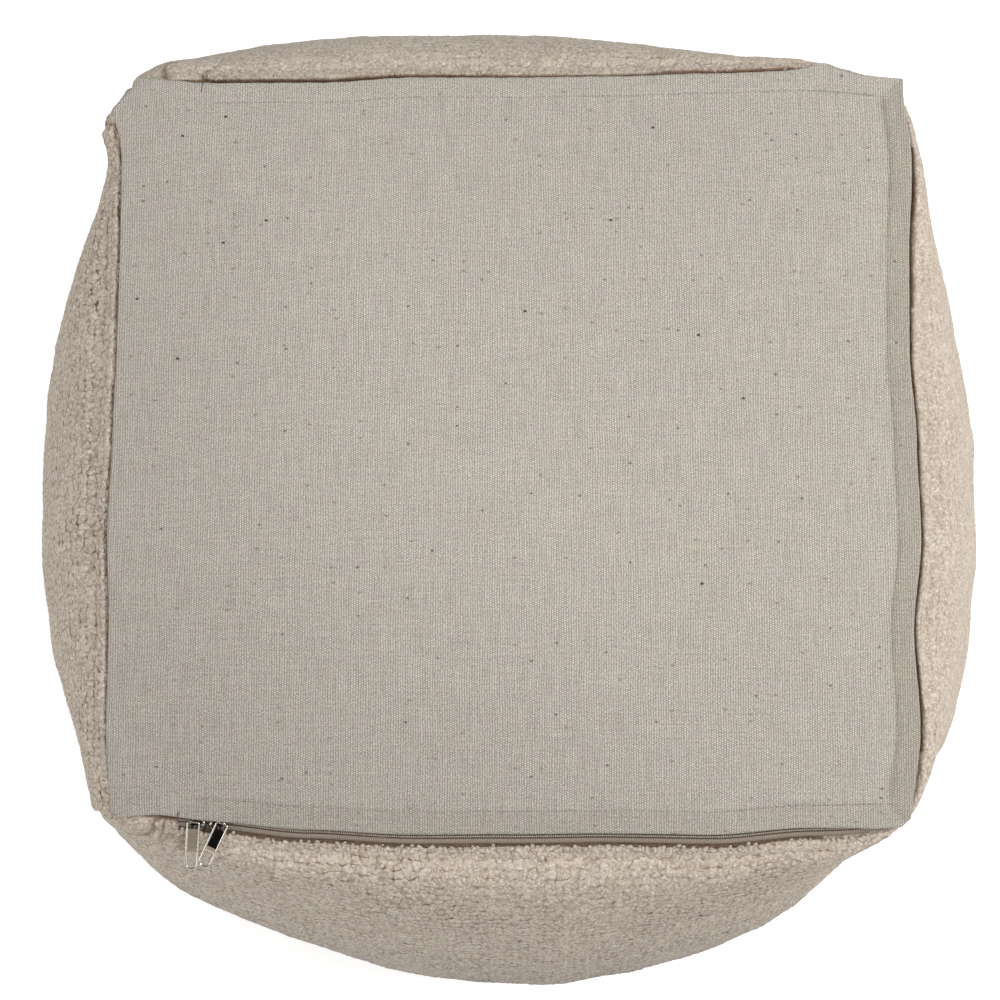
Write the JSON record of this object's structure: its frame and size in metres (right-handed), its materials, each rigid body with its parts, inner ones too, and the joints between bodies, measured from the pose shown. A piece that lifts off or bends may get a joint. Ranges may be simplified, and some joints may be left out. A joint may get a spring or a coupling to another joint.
{
  "type": "cube pouf stool",
  "caption": "Soft stuffed cube pouf with bulging boucle sides, lying on its seat so that its zipped canvas base faces up.",
  "frame": {"origin": "under the middle of the pouf, on the surface that its seat lies on", "axes": "+Z from the seat up to the canvas base, +X towards the zipped side on the right, -Y towards the side where the zip starts and its sliders are parked"},
  "size_m": [0.5744, 0.5826, 0.43],
  "materials": {
    "boucle": "cream chunky boucle, hand-woven in pebbly rows",
    "canvas": "grey-beige plain-weave canvas with dark flecks",
    "zip_tape": "taupe woven tape",
    "zip_coil": "taupe nylon coil",
    "nickel": "polished nickel plate"
  },
  "bodies": {
    "root": {"cover": "boucle", "base_canvas": "canvas", "zip_tape": "zip_tape", "zip_coil": "zip_coil", "slider_1": "nickel", "slider_2": "nickel", "pull_1": "nickel", "pull_2": "nickel"}
  },
  "joints": []
}
